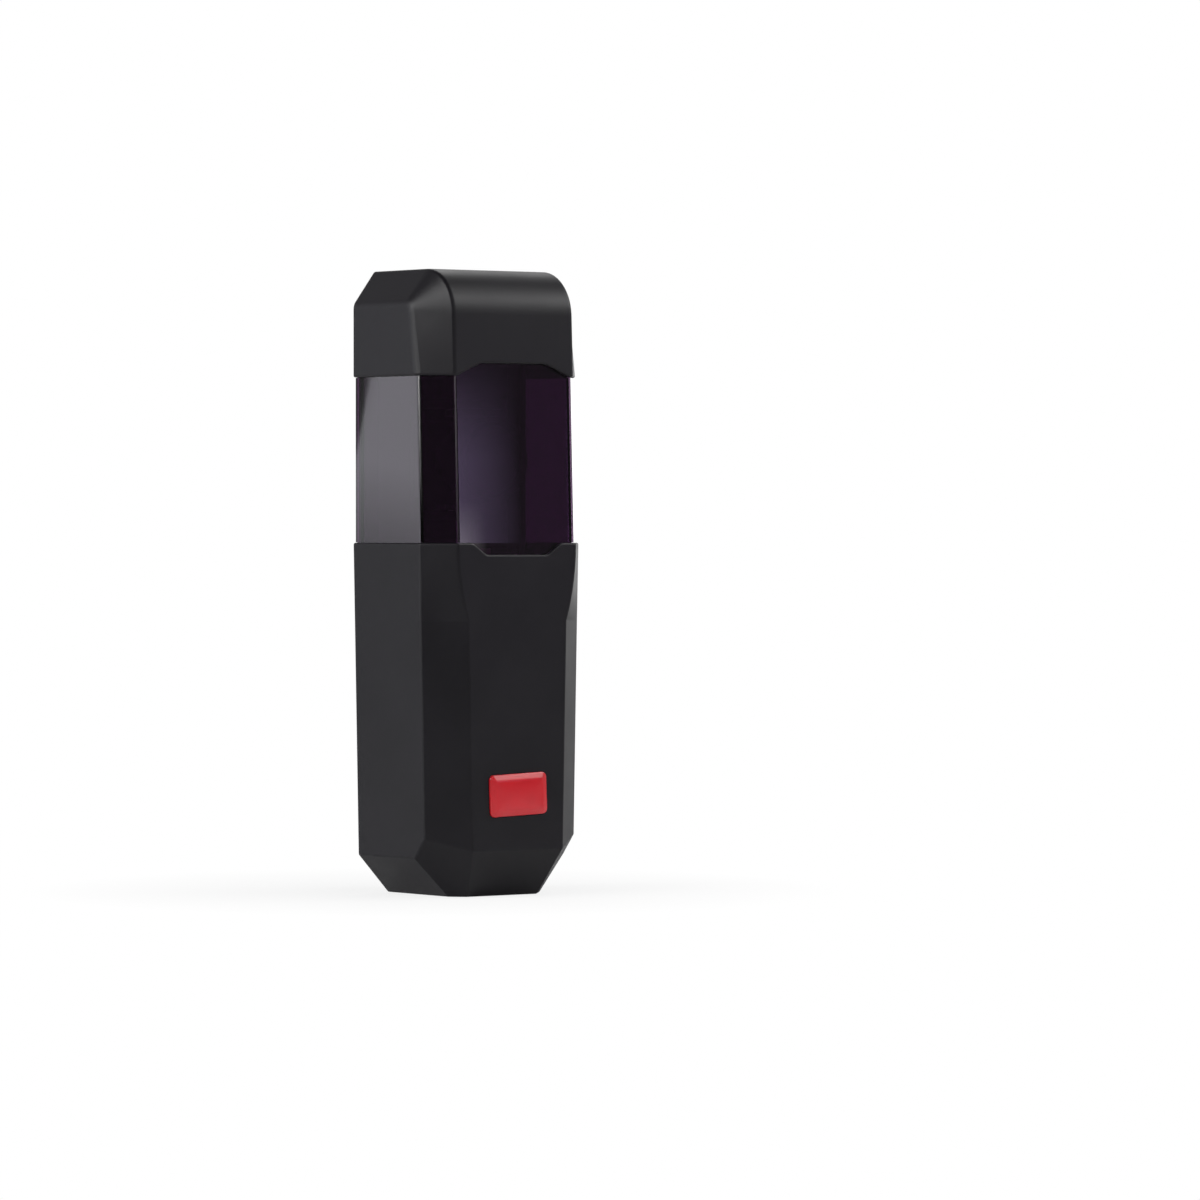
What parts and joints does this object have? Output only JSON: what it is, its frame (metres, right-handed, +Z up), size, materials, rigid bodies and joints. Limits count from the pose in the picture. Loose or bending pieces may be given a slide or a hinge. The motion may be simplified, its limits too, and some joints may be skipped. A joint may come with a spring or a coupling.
{
  "type": "gate photocell",
  "caption": "Wall-fixed gate photocell: bevelled black housing, wrap-round dark infrared window, red badge and an inner optics head that swivels.",
  "frame": {"origin": "wall plane, at the centre of the two fixing holes", "axes": "+Z up, +Y into the wall, the front with its badge faces -Y"},
  "size_m": [0.052, 0.0392, 0.165],
  "materials": {
    "shell_black": "fine matte moulded texture",
    "tray_plastic": "plain moulded",
    "head_plastic": "plain moulded",
    "window_violet": "polished, dark violet infrared tint",
    "badge_red": "glossy domed",
    "seal_rubber": "soft matte",
    "board_green": "solder mask",
    "terminal_green": "moulded",
    "relay_black": "moulded",
    "capacitor_sleeve": "shrunk sleeve",
    "varistor_blue": "dipped lacquer",
    "chip_black": "moulded",
    "led_red": "tinted, clear",
    "socket_white": "moulded",
    "lead_sheath": "smooth sheath",
    "lens_clear": "polished",
    "diode_dark": "dark resin",
    "zinc_steel": "zinc plated"
  },
  "bodies": {
    "housing": {"wall_base": "tray_plastic", "base_gasket": "seal_rubber", "cable_grommet": "seal_rubber", "main_board": "board_green", "board_screws": "zinc_steel", "terminal_block": "terminal_green", "terminal_screws": "zinc_steel", "relay": "relay_black", "smoothing_capacitor": "capacitor_sleeve", "surge_varistor": "varistor_blue", "controller_chip": "chip_black", "alignment_led": "led_red", "mode_jumper": "chip_black", "lead_socket": "socket_white", "head_lead": "lead_sheath", "swivel_cradle": "tray_plastic", "cradle_screws": "zinc_steel", "lens_window": "window_violet", "top_hood": "shell_black", "front_cover": "shell_black", "badge": "badge_red", "cover_screw": "zinc_steel"},
    "head": {"head_tube": "head_plastic", "objective_lens": "lens_clear", "lens_ring": "head_plastic", "sensor_board": "board_green", "photodiode": "diode_dark", "head_rear_cap": "head_plastic"}
  },
  "joints": [
    {"name": "head_swivel", "type": "hinge", "parent": "housing", "child": "head", "pos_m": [0, -0.0175, 0.0324], "axis": [0, 0, 1], "range_deg": [-90, 90]}
  ]
}
